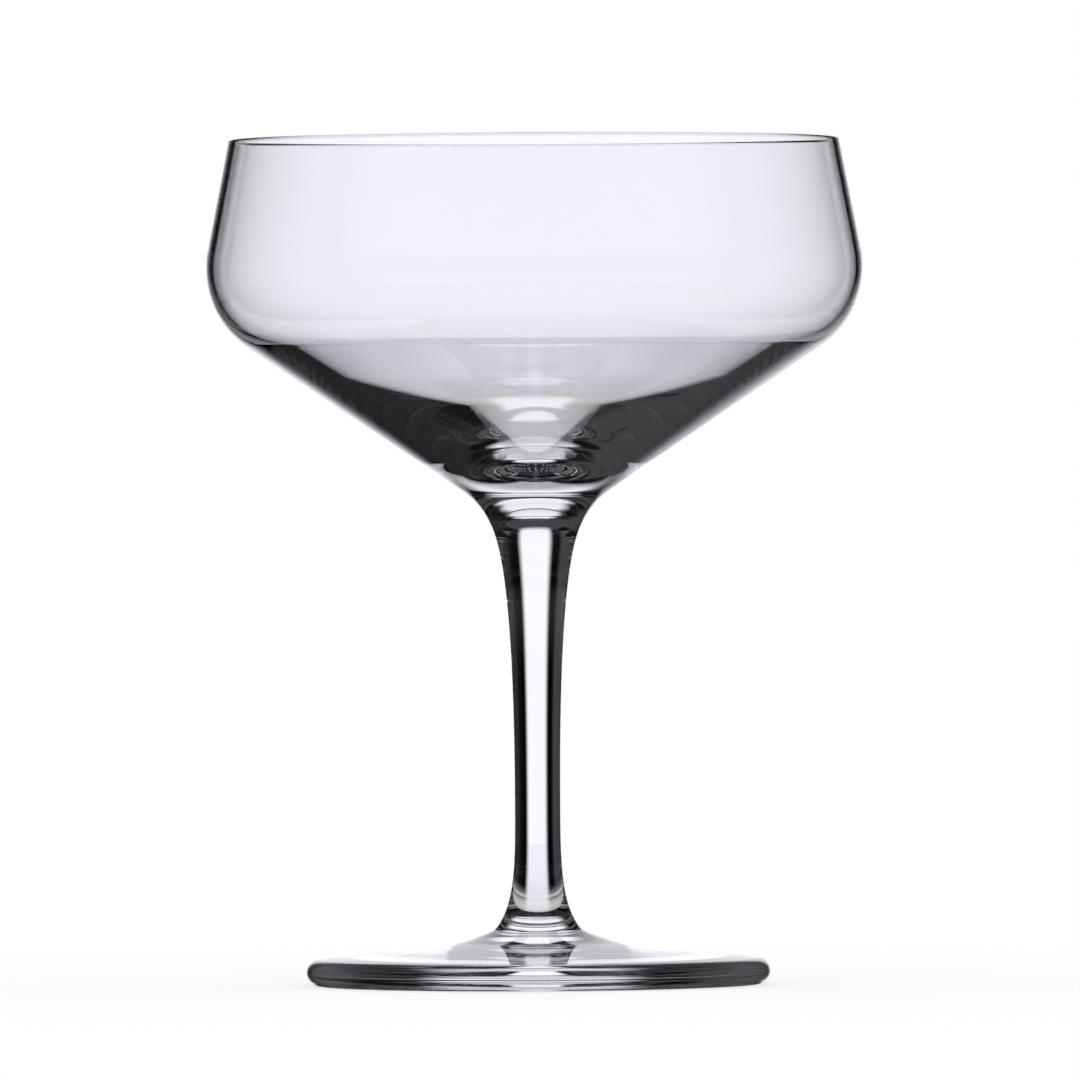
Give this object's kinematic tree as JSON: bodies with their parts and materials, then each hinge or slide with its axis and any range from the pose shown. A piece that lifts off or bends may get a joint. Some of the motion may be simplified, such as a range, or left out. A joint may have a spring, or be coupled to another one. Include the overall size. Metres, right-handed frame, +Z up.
{
  "type": "coupe glass",
  "caption": "Stemmed coupe cocktail glass: wide bowl with leaning straight sides and a conical base, waisted solid stem and flat round foot.",
  "frame": {"origin": "on the glass's axis, at the level of the table it stands on", "axes": "+Z up along the axis of the stem, +X to the right and +Y away as the picture shows it; the glass is a body of revolution"},
  "size_m": [0.1096, 0.1096, 0.141],
  "materials": {
    "bowl_glass": "clear, fire polished",
    "stem_glass": "clear, fire polished",
    "foot_glass": "clear, fire polished"
  },
  "bodies": {
    "root": {"bowl": "bowl_glass", "stem": "stem_glass", "foot": "foot_glass"}
  },
  "joints": []
}
